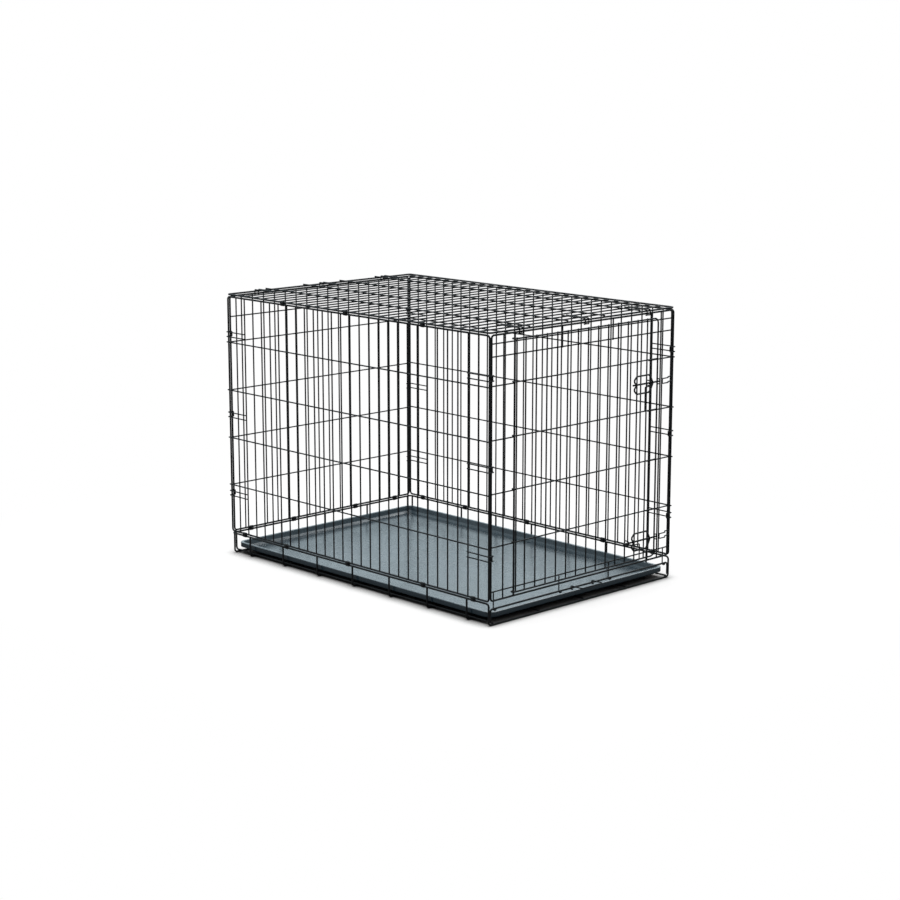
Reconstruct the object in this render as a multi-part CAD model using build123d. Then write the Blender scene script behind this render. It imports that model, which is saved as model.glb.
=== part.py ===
"""Folding wire dog crate with a hinged end door, two slide-bolt latches and a pull-out pan.

X runs across the width, Y along the length with the door end at -Y, Z up from the floor.
"""
import os

from build123d import *

# Overall size over the frame wires
LENGTH = 1067.0
WIDTH = 711.0
HEIGHT = 762.0

# Wire diameters
FRAME_WIRE = 5.2
BAR_WIRE = 4.0
RAIL_WIRE = 3.8
HOOK_WIRE = 3.4
FLOOR_WIRE = 5.2
DOOR_FRAME_WIRE = 4.6
BOLT_WIRE = 5.0
HANDLE_WIRE = 4.6

# Fits: how deep welded wires sink into each other, gaps round what moves, and between clipped wires
WELD_SINK = 0.1
MOVE_GAP = 0.35
PAN_GAP = 0.3
CLIP_GAP = 1.4

# Bends
CORNER_RADIUS = 8.0
HOOK_RADIUS = 3.4
HOOK_TIP_RADIUS = 2.1

# Base
RIM_Z = 58.9
FRONT_RAIL_Z = 44.0
CROSS_WIRE_PITCH = 150.0
CROSS_WIRE_COUNT = 7
LONG_WIRE_INSET = 12.9
LONG_WIRE_COUNT = 5

# Panel grids
SIDE_BAYS = 28
RAIL_PITCH = 139.2
RAIL_COUNT = 4
TOP_LONG_BAYS = 5
REAR_BAYS = 17
REAR_EXTRA_RAIL_Z = 695.0

# Corner hooks on the sides and end hooks on the top, each a hairpin of two wires
CORNER_HOOK_ZS = (178.5, 410.5, 644.5)
HOOK_SPREAD = 13.5
HOOK_REACH_BAYS = 2
TOP_HOOK_REAR_BAYS = 6
HOOK_TIP = 0.4

# Hinge clips of sheet metal, placed by bays counted from the rear or the left
CLIP_WIDTH = 12.0
CLIP_SHEET = 1.0
SIDE_CLIP_BAYS = (1.5, 6.5, 13.5, 21.5, 26.5)
TOP_CLIP_BAYS = (6.5, 13.5, 21.5)
REAR_CLIP_BAYS = (1.5, 5.5, 11.5, 15.5)

# Front end, measured across from its left post or in from its right post
FRONT_BAR_LEFT = 43.95
HINGE_POST_X = 82.95
JAMB_INSET = 85.25
FRONT_BAR_RIGHT_INSET = 43.75
HEADER_RAIL_Z = 697.0
UPPER_HEADER_RAIL_Z = 730.0
SILL_RAIL_Z = 87.5
CORNER_HINGE_HOOK_INSET = 13.95

# Door
DOOR_RIGHT_INSET = 62.25
DOOR_BOTTOM_Z = 76.0
DOOR_TOP_Z = 737.0
DOOR_BAR_PITCH = 39.0
DOOR_CORNER_RADIUS = 14.0
DOOR_RAIL_GAP = 0.4
DOOR_LEFT_BAR_OFFSET = 6.5
HEADER_BAR_BAYS = (4.5, 9.5)
EYE_TURN = 215.0

# Latches, with their guides on door bars counted in bays from the door's free edge
UPPER_LATCH_Z = 564.5
LOWER_LATCH_Z = 130.5
BOLT_PAST_GUIDE = 14.4
BOLT_TIP_PAST_DOOR = 5.0
UPPER_GUIDE_BAYS = 1
LOWER_GUIDE_BAYS = 3
HANDLE_FROM_DOOR_EDGE = 104.0
HANDLE_WIDTH = 75.0
HANDLE_HEIGHT = 48.0
HANDLE_CORNER_CUT = 9.0
HANDLE_PINCH = 9.0
HANDLE_NOSE = 8.0
HANDLE_BEND = 4.0
GUIDE_SPREAD = 13.5
KEEPER_GAP = 8.0
KEEPER_CATCH = 24.0
KEEPER_RAMP = 12.0
REST_WIDTH = 22.0
REST_DROP = 11.0
UPPER_REST_FROM_DOOR_EDGE = 37.0
UPPER_REST_RAIL_COUNT = 3
LOWER_REST_FROM_DOOR_EDGE = 71.0

# Pan
PAN_SIDE_GAP = 1.5
PAN_FRONT_GAP = 5.0
PAN_REAR_GAP = 5.0
PAN_HEIGHT = 21.5
PAN_WALL = 2.4
PAN_LIP = 6.5
PAN_LIP_DROP = 13.0
PAN_DRAFT = 3.0
PAN_STEP_DEPTH = 6.0
PAN_STEP_WIDTH = 8.0
PAN_CORNER_RADIUS = 26.0
PAN_LIP_ROUND = 1.0

# Pan stop, drawn level in front of the front rail
STOP_WIDTH = 82.0
STOP_REACH = 36.0
STOP_BEND = 6.0

frame_r = FRAME_WIRE / 2
bar_r = BAR_WIRE / 2
rail_r = RAIL_WIRE / 2
hook_r = HOOK_WIRE / 2
floor_r = FLOOR_WIRE / 2
door_frame_r = DOOR_FRAME_WIRE / 2
bolt_r = BOLT_WIRE / 2
handle_r = HANDLE_WIRE / 2

# Planes of the panels: axes of their frame wires
side_x = WIDTH / 2 - frame_r
end_y = LENGTH / 2 - frame_r
top_z = HEIGHT - frame_r
stack = FRAME_WIRE + CLIP_GAP
panel_top_z = top_z - stack
panel_bottom_z = RIM_Z + stack

# Offsets from a frame's plane: bars flush with the frame's face, rails welded over both
bar_offset = frame_r - bar_r
rail_offset = frame_r + rail_r - WELD_SINK

# Hooks run over a panel's outer face and turn round the wire that they hold
hook_at_post = frame_r + hook_r - WELD_SINK
hook_turn = frame_r + MOVE_GAP + hook_r

# The end panels fold down between the sides' hinge clips
clip_reach = frame_r + MOVE_GAP + CLIP_SHEET
post_spacing = clip_reach + MOVE_GAP + frame_r
end_x = side_x - post_spacing

# The front panel's hinge hooks hang inside its bottom wire and pivot on the base's front rail
hinge_hook_inset = frame_r + hook_r - WELD_SINK
pivot_y = -end_y - (hook_turn - hinge_hook_inset)
front_rail_end = side_x - FRAME_WIRE
front_rail_foot_z = frame_r + CORNER_RADIUS

# The stop reaches further out in front than the top hooks do at the rear
front_reach = pivot_y - STOP_REACH - hook_r
rear_reach = end_y + hook_turn + hook_r
to_origin = Location((0, -(front_reach + rear_reach) / 2, 0))

rail_zs = [panel_bottom_z + RAIL_PITCH * (i + 1) for i in range(RAIL_COUNT)]
side_pitch = 2 * end_y / SIDE_BAYS
rear_pitch = 2 * end_x / REAR_BAYS

# Places across the front end
post_x = 2 * end_x
jamb_x = post_x - JAMB_INSET
front_bar_right_x = post_x - FRONT_BAR_RIGHT_INSET
door_right_x = post_x - DOOR_RIGHT_INSET
door_width = door_right_x - HINGE_POST_X
door_bays = round(door_width / DOOR_BAR_PITCH)
door_pitch = door_width / door_bays
header_bar_xs = [HINGE_POST_X + bays * door_pitch for bays in HEADER_BAR_BAYS]
upper_guide_x = door_right_x - UPPER_GUIDE_BAYS * door_pitch
lower_guide_x = door_right_x - LOWER_GUIDE_BAYS * door_pitch
handle_left_x = door_right_x - HANDLE_FROM_DOOR_EDGE

# Panel frames of reference: X across the panel, Y up it, Z outwards
LEFT = Plane(origin=(-side_x, 0, 0), x_dir=(0, -1, 0), z_dir=(-1, 0, 0))
RIGHT = Plane(origin=(side_x, 0, 0), x_dir=(0, 1, 0), z_dir=(1, 0, 0))
REAR = Plane(origin=(0, end_y, 0), x_dir=(-1, 0, 0), z_dir=(0, 1, 0))
FRONT = Plane(origin=(-end_x, -end_y, 0), x_dir=(1, 0, 0), z_dir=(0, -1, 0))
TOP = Plane(origin=(0, 0, top_z), x_dir=(1, 0, 0), z_dir=(0, 0, 1))


def run(start, end, diameter):
    """Straight wire between two points."""
    start, end = Vector(*start), Vector(*end)
    plane = Plane(origin=start, z_dir=end - start)
    return Solid.make_cylinder(diameter / 2, (end - start).length, plane)


def swept(path, diameter):
    """Wire along one edge or one unbroken path."""
    plane = Plane(origin=path @ 0, z_dir=path % 0)
    return sweep(plane * Circle(diameter / 2), path=path).solid()


def bent(points, diameter, radius, close=False):
    """Bent wire as its straight runs and bends, which meet face to face."""
    path = FilletPolyline(*points, radius=radius, close=close)
    return [swept(edge, diameter) for edge in path.edges()]


def hairpin(points):
    """Hook of two wires joined at the tip, as one solid: wide bends at the legs, tight ones at the tip."""
    radii = [HOOK_RADIUS, *[HOOK_TIP_RADIUS for _ in points[2:-2]], HOOK_RADIUS]
    return swept(FilletPolyline(*points, radius=radii).wire(), HOOK_WIRE)


def place(plane, solids):
    """Solids drawn on a panel, moved to where the panel stands."""
    return [solid.moved(plane.location) for solid in solids]


def rectangle_frame(half_width, low, high):
    """Closed frame wire with rounded corners, in the panel's plane."""
    corners = [(-half_width, low, 0), (half_width, low, 0), (half_width, high, 0), (-half_width, high, 0)]
    return bent(corners, FRAME_WIRE, CORNER_RADIUS, close=True)


def save(name, solids):
    """Write one node, with the origin under the middle of the whole crate."""
    export_step(Compound([solid.moved(to_origin) for solid in solids]), f"parts/{name}.step")


def eye_path(centre, turn_radius, start_side, normal):
    """Route of a wire's end that turns round a hinge wire, from one side of it."""
    plane = Plane(origin=centre, x_dir=start_side, z_dir=normal)
    return plane.from_local_coords(CenterArc((0, 0, 0), turn_radius, 0, EYE_TURN).edge())


def eye(centre, turn_radius, diameter, start_side, normal):
    """Curled wire end."""
    return swept(eye_path(centre, turn_radius, start_side, normal), diameter)


def clip(plane):
    """Sheet ring round two wires that lie one above the other."""
    inner = FRAME_WIRE + 2 * MOVE_GAP
    outer = inner + 2 * CLIP_SHEET
    ring = SlotCenterToCenter(stack, outer) - SlotCenterToCenter(stack, inner)
    solid = extrude(ring, CLIP_WIDTH / 2, both=True).solid()
    return solid.moved(plane.location)


def base_rim():
    """Closed rim: high along both sides and the rear, down at the front corners and across the floor."""
    points = [
        (-side_x, -end_y, frame_r),
        (-side_x, -end_y, RIM_Z),
        (-side_x, end_y, RIM_Z),
        (side_x, end_y, RIM_Z),
        (side_x, -end_y, RIM_Z),
        (side_x, -end_y, frame_r),
    ]
    return bent(points, FRAME_WIRE, CORNER_RADIUS, close=True)


def base_front_rail():
    """High front wire whose ends run down beside the rim's uprights to their bends."""
    points = [
        (-front_rail_end, pivot_y, front_rail_foot_z),
        (-front_rail_end, pivot_y, FRONT_RAIL_Z),
        (front_rail_end, pivot_y, FRONT_RAIL_Z),
        (front_rail_end, pivot_y, front_rail_foot_z),
    ]
    return bent(points, FRAME_WIRE, CORNER_RADIUS)


cross_wire_ys = [(i - (CROSS_WIRE_COUNT - 1) / 2) * CROSS_WIRE_PITCH for i in range(CROSS_WIRE_COUNT)]
rear_cross_wire_y = end_y - CORNER_RADIUS
rim_underside = RIM_Z - frame_r + WELD_SINK
long_wire_z = floor_r + FLOOR_WIRE - WELD_SINK


def base_cross_wires():
    """Floor wires across the crate, turned up under the rim at both sides."""
    wires = []
    for y in [*cross_wire_ys, rear_cross_wire_y]:
        points = [
            (-side_x, y, rim_underside),
            (-side_x, y, floor_r),
            (side_x, y, floor_r),
            (side_x, y, rim_underside),
        ]
        wires += bent(points, FLOOR_WIRE, CORNER_RADIUS)
    return wires


def base_long_wires():
    """Runners from the rim's floor run over the cross wires, turned up under the rear rim."""
    edge_x = side_x - LONG_WIRE_INSET
    pitch = 2 * edge_x / (LONG_WIRE_COUNT - 1)
    wires = []
    for i in range(LONG_WIRE_COUNT):
        x = -edge_x + i * pitch
        points = [
            (x, -end_y - frame_r, long_wire_z),
            (x, end_y, long_wire_z),
            (x, end_y, rim_underside),
        ]
        wires += bent(points, FLOOR_WIRE, CORNER_RADIUS)
    return wires


def side_panel(side, plane):
    """One long side: frame, bars, rails outside the bars, corner hooks and hinge clips."""
    save(f"{side}_side_frame", place(plane, rectangle_frame(end_y, panel_bottom_z, panel_top_z)))
    bar_low = panel_bottom_z + frame_r - WELD_SINK
    bar_high = panel_top_z - frame_r + WELD_SINK
    bars = []
    for i in range(1, SIDE_BAYS):
        u = -end_y + i * side_pitch
        bars.append(run((u, bar_low, bar_offset), (u, bar_high, bar_offset), BAR_WIRE))
    save(f"{side}_side_bars", place(plane, bars))
    rails = []
    for z in rail_zs:
        rails.append(run((-end_y - frame_r, z, rail_offset), (end_y + frame_r, z, rail_offset), RAIL_WIRE))
    save(f"{side}_side_rails", place(plane, rails))
    hooks = []
    for end in (-1, 1):
        for z in CORNER_HOOK_ZS:
            hooks.append(corner_hook(end, z))
    save(f"{side}_corner_hooks", place(plane, hooks))
    clips = []
    clip_z = (RIM_Z + panel_bottom_z) / 2
    outward = -1 if side == "left" else 1
    for bays in SIDE_CLIP_BAYS:
        y = end_y - bays * side_pitch
        clips.append(clip(Plane(origin=(outward * side_x, y, clip_z), x_dir=(0, 0, 1), z_dir=(0, 1, 0))))
    save(f"{side}_base_clips", clips)


def corner_hook(end, z):
    """Hairpin over the second bar and the side's post, round that post and the end panel's."""
    start = end * (end_y - HOOK_REACH_BAYS * side_pitch)
    front = end * (end_y + hook_turn)
    tip = end * (end_y - HOOK_TIP)
    near = hook_at_post
    far = -post_spacing - hook_turn
    low, high = z - HOOK_SPREAD / 2, z + HOOK_SPREAD / 2
    points = [
        (start, high, near),
        (front, high, near),
        (front, high, far),
        (tip, high, far),
        (tip, low, far),
        (front, low, far),
        (front, low, near),
        (start, low, near),
    ]
    return hairpin(points)


def top_panel():
    """Top: frame, cross bars, long wires over them, end hooks and hinge clips on the left edge."""
    save("top_frame", place(TOP, rectangle_frame(side_x, -end_y, end_y)))
    bar_end = side_x - frame_r + WELD_SINK
    bars = []
    for i in range(1, SIDE_BAYS):
        y = -end_y + i * side_pitch
        bars.append(run((-bar_end, y, bar_offset), (bar_end, y, bar_offset), BAR_WIRE))
    save("top_cross_bars", place(TOP, bars))
    wires = []
    for i in range(1, TOP_LONG_BAYS):
        x = -side_x + i * 2 * side_x / TOP_LONG_BAYS
        wires.append(run((x, -end_y - frame_r, rail_offset), (x, end_y + frame_r, rail_offset), RAIL_WIRE))
    save("top_long_wires", place(TOP, wires))
    hooks = []
    for end in (-1, 1):
        for i in (-1, 0, 1):
            hooks.append(top_hook(end, i * TOP_HOOK_REAR_BAYS * rear_pitch))
    save("top_end_hooks", place(TOP, hooks))
    clips = []
    clip_z = (panel_top_z + top_z) / 2
    for bays in TOP_CLIP_BAYS:
        y = end_y - bays * side_pitch
        clips.append(clip(Plane(origin=(-side_x, y, clip_z), x_dir=(0, 0, 1), z_dir=(0, 1, 0))))
    save("top_hinge_clips", clips)


def top_hook(end, x):
    """Hairpin over the top's end wire, turned down round the end panel's top wire."""
    start = end * (end_y - HOOK_REACH_BAYS * side_pitch)
    front = end * (end_y + hook_turn)
    tip = end * (end_y - HOOK_TIP)
    over = hook_at_post
    under = panel_top_z - hook_turn - top_z
    left, right = x - HOOK_SPREAD / 2, x + HOOK_SPREAD / 2
    points = [
        (left, start, over),
        (left, front, over),
        (left, front, under),
        (left, tip, under),
        (right, tip, under),
        (right, front, under),
        (right, front, over),
        (right, start, over),
    ]
    return hairpin(points)


def rear_end():
    """Rear end: frame, bars, rails inside the bars, and the clips on the rear rim."""
    save("rear_end_frame", place(REAR, rectangle_frame(end_x, panel_bottom_z, panel_top_z)))
    bar_low = panel_bottom_z + frame_r - WELD_SINK
    bar_high = panel_top_z - frame_r + WELD_SINK
    bars = []
    for i in range(1, REAR_BAYS):
        u = -end_x + i * rear_pitch
        bars.append(run((u, bar_low, -bar_offset), (u, bar_high, -bar_offset), BAR_WIRE))
    save("rear_end_bars", place(REAR, bars))
    rails = []
    for z in rail_zs + [REAR_EXTRA_RAIL_Z]:
        rails.append(run((-end_x - frame_r, z, -rail_offset), (end_x + frame_r, z, -rail_offset), RAIL_WIRE))
    save("rear_end_rails", place(REAR, rails))
    clips = []
    clip_z = (RIM_Z + panel_bottom_z) / 2
    for bays in REAR_CLIP_BAYS:
        x = -end_x + bays * rear_pitch
        clips.append(clip(Plane(origin=(x, end_y, clip_z), x_dir=(0, 0, 1), z_dir=(1, 0, 0))))
    save("rear_base_clips", clips)


def front_end():
    """Front end: frame, hinge post and jamb, bars and rails beside the door opening, hinge hooks."""
    frame = rectangle_frame(end_x, panel_bottom_z, panel_top_z)
    shift = Location((end_x, 0, 0))
    save("front_end_frame", place(FRONT, [piece.moved(shift) for piece in frame]))
    low = panel_bottom_z + frame_r - WELD_SINK
    high = panel_top_z - frame_r + WELD_SINK
    posts = [run((x, low, 0), (x, high, 0), FRAME_WIRE) for x in (HINGE_POST_X, jamb_x)]
    save("front_door_posts", place(FRONT, posts))
    bars = []
    for x in (FRONT_BAR_LEFT, front_bar_right_x):
        bars.append(run((x, low, -bar_offset), (x, high, -bar_offset), BAR_WIRE))
    for x in header_bar_xs:
        bars.append(run((x, HEADER_RAIL_Z - rail_r, -bar_offset), (x, high, -bar_offset), BAR_WIRE))
    save("front_end_bars", place(FRONT, bars))
    left_end, right_end = -frame_r, post_x + frame_r
    rails = []
    for z in (SILL_RAIL_Z, HEADER_RAIL_Z, UPPER_HEADER_RAIL_Z):
        rails.append(run((left_end, z, -rail_offset), (right_end, z, -rail_offset), RAIL_WIRE))
    for z in rail_zs:
        hinge_side = (HINGE_POST_X + frame_r, z, -rail_offset)
        latch_side = (jamb_x - frame_r, z, -rail_offset)
        rails.append(run((left_end, z, -rail_offset), hinge_side, RAIL_WIRE))
        rails.append(run(latch_side, (right_end, z, -rail_offset), RAIL_WIRE))
    save("front_end_rails", place(FRONT, rails))
    front_hinge_hooks()


def front_hinge_hooks():
    """Short wires under the sill rail that curl round the base's front rail."""
    xs = [CORNER_HINGE_HOOK_INSET, *header_bar_xs, post_x - CORNER_HINGE_HOOK_INSET]
    top = SILL_RAIL_Z - rail_r
    pivot = hook_turn - hinge_hook_inset
    hooks = []
    for x in xs:
        leg = Line((x, top, -hinge_hook_inset), (x, FRONT_RAIL_Z, -hinge_hook_inset))
        curl = eye_path((x, FRONT_RAIL_Z, pivot), hook_turn, (0, 0, -1), (-1, 0, 0))
        hooks.append(swept(Wire([leg.edge(), curl]), HOOK_WIRE))
    save("front_hinge_hooks", place(FRONT, hooks))


# Depths of the door's wires in front of the front end's plane
door_rail_depth = frame_r + MOVE_GAP + rail_r
door_frame_depth = frame_r + MOVE_GAP + door_frame_r
door_bar_depth = door_rail_depth - rail_r - bar_r + WELD_SINK
bolt_depth = door_frame_depth + door_frame_r + MOVE_GAP + bolt_r
staple_depth = bolt_depth + bolt_r + MOVE_GAP + hook_r
handle_depth = bolt_depth + bolt_r + handle_r
rest_depth = door_bar_depth + bar_r + hook_r - WELD_SINK
door_rail_zs = [z + RAIL_WIRE + DOOR_RAIL_GAP for z in rail_zs]


def door():
    """Door: frame and rails curled round the hinge post, and bars inside them."""
    points = [
        (HINGE_POST_X, DOOR_TOP_Z, door_frame_depth),
        (door_right_x, DOOR_TOP_Z, door_frame_depth),
        (door_right_x, DOOR_BOTTOM_Z, door_frame_depth),
        (HINGE_POST_X, DOOR_BOTTOM_Z, door_frame_depth),
    ]
    frame = bent(points, DOOR_FRAME_WIRE, DOOR_CORNER_RADIUS)
    for z in (DOOR_TOP_Z, DOOR_BOTTOM_Z):
        frame.append(eye((HINGE_POST_X, z, 0), door_frame_depth, DOOR_FRAME_WIRE, (0, 0, 1), (0, -1, 0)))
    save("door_frame", place(FRONT, frame))
    rails = []
    rail_end = door_right_x - door_frame_r + WELD_SINK
    for z in door_rail_zs:
        rails.append(run((HINGE_POST_X, z, door_rail_depth), (rail_end, z, door_rail_depth), RAIL_WIRE))
        rails.append(eye((HINGE_POST_X, z, 0), door_rail_depth, RAIL_WIRE, (0, 0, 1), (0, -1, 0)))
    save("door_rails", place(FRONT, rails))
    xs = [HINGE_POST_X + DOOR_LEFT_BAR_OFFSET]
    xs += [HINGE_POST_X + i * door_pitch for i in range(1, door_bays)]
    low, high = DOOR_BOTTOM_Z - door_frame_r, DOOR_TOP_Z + door_frame_r
    bars = [run((x, low, door_bar_depth), (x, high, door_bar_depth), BAR_WIRE) for x in xs]
    save("door_bars", place(FRONT, bars))


def staple(x, z, seat_depth):
    """Wire bridge over the bolt, with its two legs on the door."""
    low, high = z - GUIDE_SPREAD / 2, z + GUIDE_SPREAD / 2
    points = [(x, high, seat_depth), (x, high, staple_depth), (x, low, staple_depth), (x, low, seat_depth)]
    return bent(points, HOOK_WIRE, HOOK_RADIUS)


def latch(level, z, guide_x, start_x, rest_x, rest_seat_z):
    """One latch: guides and rest on the door, sliding bolt, looped handle, keeper on the front end."""
    guides = staple(guide_x, z, door_bar_depth + bar_r)
    guides += staple(door_right_x, z, door_frame_depth + door_frame_r)
    left, right = rest_x - REST_WIDTH / 2, rest_x + REST_WIDTH / 2
    top = z - REST_DROP
    rest = [
        (left, rest_seat_z, rest_depth),
        (left, top, rest_depth),
        (right, top, rest_depth),
        (right, rest_seat_z, rest_depth),
    ]
    guides += bent(rest, HOOK_WIRE, HOOK_RADIUS)
    save(f"{level}_latch_guides", place(FRONT, guides))
    tip_x = door_right_x + BOLT_TIP_PAST_DOOR
    bolt = run((start_x, z, bolt_depth), (tip_x, z, bolt_depth), BOLT_WIRE)
    save(f"{level}_latch_bolt", place(FRONT, [bolt]))
    save(f"{level}_latch_handle", place(FRONT, latch_handle(z)))
    save(f"{level}_latch_keeper", place(FRONT, latch_keeper(z)))


def latch_handle(z):
    """Closed wire loop of two lobes: pinched in to the bolt on its left, drawn to a nose on its right."""
    left = handle_left_x
    right = left + HANDLE_WIDTH
    shoulder = right - HANDLE_NOSE
    half, cut = HANDLE_HEIGHT / 2, HANDLE_CORNER_CUT
    outline = [
        (left + HANDLE_PINCH, z),
        (left, z + HANDLE_PINCH),
        (left, z + half - cut),
        (left + cut, z + half),
        (shoulder - cut, z + half),
        (shoulder, z + half - cut),
        (right, z),
        (shoulder, z - half + cut),
        (shoulder - cut, z - half),
        (left + cut, z - half),
        (left, z - half + cut),
        (left, z - HANDLE_PINCH),
    ]
    points = [(x, height, handle_depth) for x, height in outline]
    return bent(points, HANDLE_WIRE, HANDLE_BEND, close=True)


def latch_keeper(z):
    """Hairpin on the right post whose closed end stands out so that the bolt slides behind it."""
    low, high = z - GUIDE_SPREAD / 2, z + GUIDE_SPREAD / 2
    bridge_x = door_right_x + door_frame_r + KEEPER_GAP
    raised_x = bridge_x + KEEPER_CATCH
    seat_x = raised_x + KEEPER_RAMP
    seat_depth = frame_r + hook_r - WELD_SINK
    points = [
        (post_x, high, seat_depth),
        (seat_x, high, seat_depth),
        (raised_x, high, staple_depth),
        (bridge_x, high, staple_depth),
        (bridge_x, low, staple_depth),
        (raised_x, low, staple_depth),
        (seat_x, low, seat_depth),
        (post_x, low, seat_depth),
    ]
    return bent(points, HOOK_WIRE, HOOK_RADIUS)


pan_x = front_rail_end - frame_r - PAN_SIDE_GAP
pan_front_y = -end_y + PAN_FRONT_GAP
pan_rear_y = end_y - floor_r - PAN_REAR_GAP
pan_z = long_wire_z + floor_r + PAN_GAP
pan_width = 2 * pan_x
pan_length = pan_rear_y - pan_front_y
pan_centre_y = (pan_rear_y + pan_front_y) / 2


def pan_section(z, inset):
    """Level outline of the pan, set in from the lip's edge."""
    radius = PAN_CORNER_RADIUS - min(inset, PAN_CORNER_RADIUS / 2)
    outline = RectangleRounded(pan_width - 2 * inset, pan_length - 2 * inset, radius)
    return Pos(0, pan_centre_y, z) * outline


def pan():
    """Plastic tray: flat floor, stepped and drafted walls, and a lip turned over outside."""
    rim_z = pan_z + PAN_HEIGHT
    step_z = pan_z + PAN_STEP_DEPTH
    wall_inset = PAN_LIP
    foot_inset = PAN_LIP + PAN_DRAFT
    step_inset = foot_inset + PAN_STEP_WIDTH
    tub = loft([pan_section(step_z, foot_inset), pan_section(rim_z, wall_inset)], ruled=True)
    tub += loft([pan_section(pan_z, step_inset), pan_section(step_z, foot_inset)], ruled=True)
    hollow_step = pan_section(step_z + PAN_WALL, foot_inset + PAN_WALL)
    hollow = loft([hollow_step, pan_section(rim_z, wall_inset + PAN_WALL)], ruled=True)
    hollow += loft([pan_section(pan_z + PAN_WALL, step_inset + PAN_WALL), hollow_step], ruled=True)
    lip = extrude(pan_section(rim_z - PAN_LIP_DROP, 0), PAN_LIP_DROP)
    lip -= extrude(pan_section(rim_z - PAN_LIP_DROP, PAN_WALL), PAN_LIP_DROP - PAN_WALL)
    lip = fillet(lip.faces().sort_by(Axis.Z)[-1].edges(), PAN_LIP_ROUND)
    tray = tub + lip - hollow
    return tray.solids()


def pan_stop():
    """Wire loop with two eyes on the front rail, swung out level so that the pan can pass."""
    half = STOP_WIDTH / 2
    front = pivot_y - STOP_REACH
    over = FRONT_RAIL_Z + hook_turn
    points = [(-half, pivot_y, over), (-half, front, over), (half, front, over), (half, pivot_y, over)]
    solids = bent(points, HOOK_WIRE, STOP_BEND)
    for x in (-half, half):
        solids.append(eye((x, pivot_y, FRONT_RAIL_Z), hook_turn, HOOK_WIRE, (0, 0, 1), (-1, 0, 0)))
    return solids


def main():
    os.makedirs("parts", exist_ok=True)
    save("base_rim", base_rim())
    save("base_front_rail", base_front_rail())
    save("base_cross_wires", base_cross_wires())
    save("base_long_wires", base_long_wires())
    side_panel("left", LEFT)
    side_panel("right", RIGHT)
    top_panel()
    rear_end()
    front_end()
    door()
    upper_rest_x = door_right_x - UPPER_REST_FROM_DOOR_EDGE
    upper_seat_z = door_rail_zs[UPPER_REST_RAIL_COUNT - 1] + rail_r
    latch("upper", UPPER_LATCH_Z, upper_guide_x, handle_left_x, upper_rest_x, upper_seat_z)
    lower_start_x = lower_guide_x - BOLT_PAST_GUIDE
    lower_rest_x = door_right_x - LOWER_REST_FROM_DOOR_EDGE
    lower_seat_z = DOOR_BOTTOM_Z + door_frame_r
    latch("lower", LOWER_LATCH_Z, lower_guide_x, lower_start_x, lower_rest_x, lower_seat_z)
    save("pan", pan())
    save("pan_stop", pan_stop())


main()
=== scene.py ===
"""Dresses the folding wire dog crate: coated wires, welds, clips, a grained pan, a white studio."""
import math

import bmesh
import bpy
from bpy.props import FloatProperty, FloatVectorProperty, IntProperty, PointerProperty
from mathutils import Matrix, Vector


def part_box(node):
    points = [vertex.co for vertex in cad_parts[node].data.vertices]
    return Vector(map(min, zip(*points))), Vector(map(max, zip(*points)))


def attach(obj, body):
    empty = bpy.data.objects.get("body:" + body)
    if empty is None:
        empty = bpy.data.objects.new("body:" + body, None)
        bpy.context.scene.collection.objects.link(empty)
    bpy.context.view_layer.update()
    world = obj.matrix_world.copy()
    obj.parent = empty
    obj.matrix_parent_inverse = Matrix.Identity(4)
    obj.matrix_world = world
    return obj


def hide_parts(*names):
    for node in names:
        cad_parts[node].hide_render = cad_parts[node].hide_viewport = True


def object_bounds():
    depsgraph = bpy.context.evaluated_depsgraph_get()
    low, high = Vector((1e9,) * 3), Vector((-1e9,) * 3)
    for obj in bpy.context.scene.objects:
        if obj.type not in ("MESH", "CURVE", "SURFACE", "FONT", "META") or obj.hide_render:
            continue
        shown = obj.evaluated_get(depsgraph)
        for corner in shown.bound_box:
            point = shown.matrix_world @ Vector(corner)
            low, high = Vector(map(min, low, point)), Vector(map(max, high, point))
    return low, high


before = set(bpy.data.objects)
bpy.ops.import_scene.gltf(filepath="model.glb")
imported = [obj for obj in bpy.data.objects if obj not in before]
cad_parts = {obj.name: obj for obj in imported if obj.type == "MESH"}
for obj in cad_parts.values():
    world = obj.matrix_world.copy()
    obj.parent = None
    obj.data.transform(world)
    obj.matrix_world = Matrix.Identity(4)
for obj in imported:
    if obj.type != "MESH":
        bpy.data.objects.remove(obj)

bl_info = {
    "name": "Wire dog crate",
    "version": (1, 0, 0),
    "blender": (4, 5, 0),
    "location": "View3D > Sidebar > Crate",
    "description": "Builds the coated wires, welds, clips, pan and studio of a folding dog crate",
    "category": "Object",
}

X, Y, Z = 0, 1, 2
cad_low, cad_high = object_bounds()

# Counts of the panels' wires
SIDE_BARS = 27
SIDE_RAILS = 4
TOP_LONG_WIRES = 4
REAR_BARS = 16
CROSS_WIRES = 7
LONG_WIRES = 5
DOOR_POSTS = 2
DOOR_BAYS = 14

# Places counted in bays of a grid
SIDE_CLIP_BAYS = (1.5, 6.5, 13.5, 21.5, 26.5)
TOP_CLIP_BAYS = (6.5, 13.5, 21.5)
REAR_CLIP_BAYS = (1.5, 5.5, 11.5, 15.5)
HEADER_BAR_BAYS = (4.5, 9.5)
HOOK_REACH_BAYS = 2
TOP_HOOK_BAYS = (-6, 0, 6)
GUIDE_BAYS = {"upper": 13, "lower": 11}
UPPER_REST_RAIL = 2

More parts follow.
